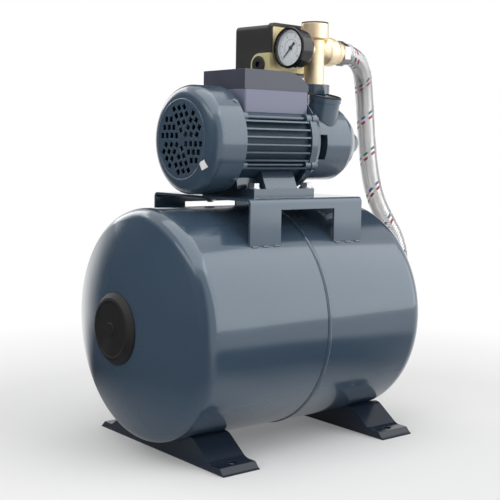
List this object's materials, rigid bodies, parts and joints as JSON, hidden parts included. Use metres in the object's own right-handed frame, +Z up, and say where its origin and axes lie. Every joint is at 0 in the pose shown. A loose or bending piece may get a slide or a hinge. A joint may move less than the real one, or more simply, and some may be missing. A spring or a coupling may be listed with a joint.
{
  "type": "booster pump set",
  "caption": "Peripheral pump and motor on a horizontal membrane tank, with a brass five-way fitting, pressure gauge, pressure switch and a braided hose to the tank flange.",
  "frame": {"origin": "on the floor, under the middle of the set's outline", "axes": "+X along the tank and the motor shaft towards the pump's nose and the hose, +Z up"},
  "size_m": [0.4925, 0.2764, 0.5225],
  "materials": {
    "tank_paint": "glossy slate blue-grey powder coat",
    "motor_paint": "satin slate blue-grey paint on castings",
    "plated_steel": "zinc plated",
    "bright_steel": "ground and polished",
    "rubber": "matt black",
    "black_plastic": "black moulding with a soft gloss",
    "brass": "satin machined",
    "zinc_plate": "yellow passivated sheet",
    "laminations": "stacked sheet",
    "winding": "enamelled copper wire",
    "pale_plastic": "ivory moulding",
    "seal_face": "lapped ceramic and carbon",
    "dark_moulding": "dark phenolic moulding",
    "dial": "bluish white dial",
    "lens": "clear window",
    "pointer": "black",
    "hose_braid": "silver wire braid with coloured tracer threads over a rubber liner"
  },
  "bodies": {
    "base": {"tank_shell_left": "tank_paint", "tank_shell_right": "tank_paint", "mouth_ring": "tank_paint", "membrane": "rubber", "tank_flange": "plated_steel", "flange_bolts": "plated_steel", "air_valve": "brass", "foot_left": "tank_paint", "foot_right": "tank_paint", "platform": "tank_paint", "motor_frame": "motor_paint", "motor_foot": "motor_paint", "foot_bolts": "plated_steel", "stator_core": "laminations", "stator_winding": "winding", "bearing_outer_rings": "bright_steel", "rear_shield": "motor_paint", "fan_cover": "motor_paint", "cover_screws": "plated_steel", "tie_bolts": "plated_steel", "terminal_box": "motor_paint", "terminal_cover": "black_plastic", "terminal_screws": "plated_steel", "terminal_block": "pale_plastic", "capacitor": "pale_plastic", "cable_gland": "black_plastic", "pump_bracket": "motor_paint", "pump_casing": "motor_paint", "casing_seal": "rubber", "seal_seat": "seal_face", "casing_bolts": "plated_steel", "five_way_fitting": "brass", "port_gaskets": "rubber", "gauge_case": "black_plastic", "gauge_bezel": "black_plastic", "gauge_dial": "dial", "gauge_lens": "lens", "gauge_stem": "brass", "switch_base": "zinc_plate", "switch_cover": "black_plastic", "switch_neck": "brass", "switch_springs": "bright_steel", "switch_contacts": "dark_moulding", "switch_grommet": "rubber", "hose": "hose_braid", "hose_nuts": "bright_steel", "hose_ferrules": "bright_steel", "tank_elbow": "brass"},
    "rotor": {"motor_shaft": "bright_steel", "rotor_core": "laminations", "bearing_inner_rings": "bright_steel", "cooling_fan": "black_plastic", "impeller": "brass", "seal_ring": "seal_face"},
    "ball_sets": {"bearing_balls": "bright_steel"},
    "needle": {"gauge_pointer": "pointer"},
    "valve_cap": {"air_valve_cap": "black_plastic"},
    "lever": {"switch_lever": "zinc_plate"},
    "plunger": {"switch_plunger": "bright_steel"}
  },
  "joints": [
    {"name": "rotor_spin", "type": "hinge", "parent": "base", "child": "rotor", "pos_m": [0, 0, 0.369], "axis": [1, 0, 0], "continuous": true},
    {"name": "ball_roll", "type": "hinge", "parent": "base", "child": "ball_sets", "pos_m": [0, 0, 0.369], "axis": [1, 0, 0], "continuous": true},
    {"name": "needle_turn", "type": "hinge", "parent": "base", "child": "needle", "pos_m": [0.01425, -0.0047, 0.487], "axis": [0.9945, 0.1045, 0], "range_deg": [0, 270], "stiffness_Nm_per_rad": 0.001},
    {"name": "cap_pull", "type": "slide", "parent": "base", "child": "valve_cap", "axis": [-1, 0, 0], "range_m": [0, 0.03]},
    {"name": "lever_swing", "type": "hinge", "parent": "base", "child": "lever", "pos_m": [0.01603, 0.0357, 0.487], "axis": [0, 0, 1], "range_deg": [0, 3], "stiffness_Nm_per_rad": 2, "springref_deg": -2.86, "deforming": ["switch_springs"]},
    {"name": "plunger_slide", "type": "slide", "parent": "base", "child": "plunger", "axis": [-0.1045, 0.9945, 0], "range_m": [0, 0.0021]}
  ],
  "couplings": [
    {"joint": "ball_roll", "follows": "rotor_spin", "ratio": 0.381},
    {"joint": "plunger_slide", "follows": "lever_swing", "m_per_rad": 0.039}
  ]
}
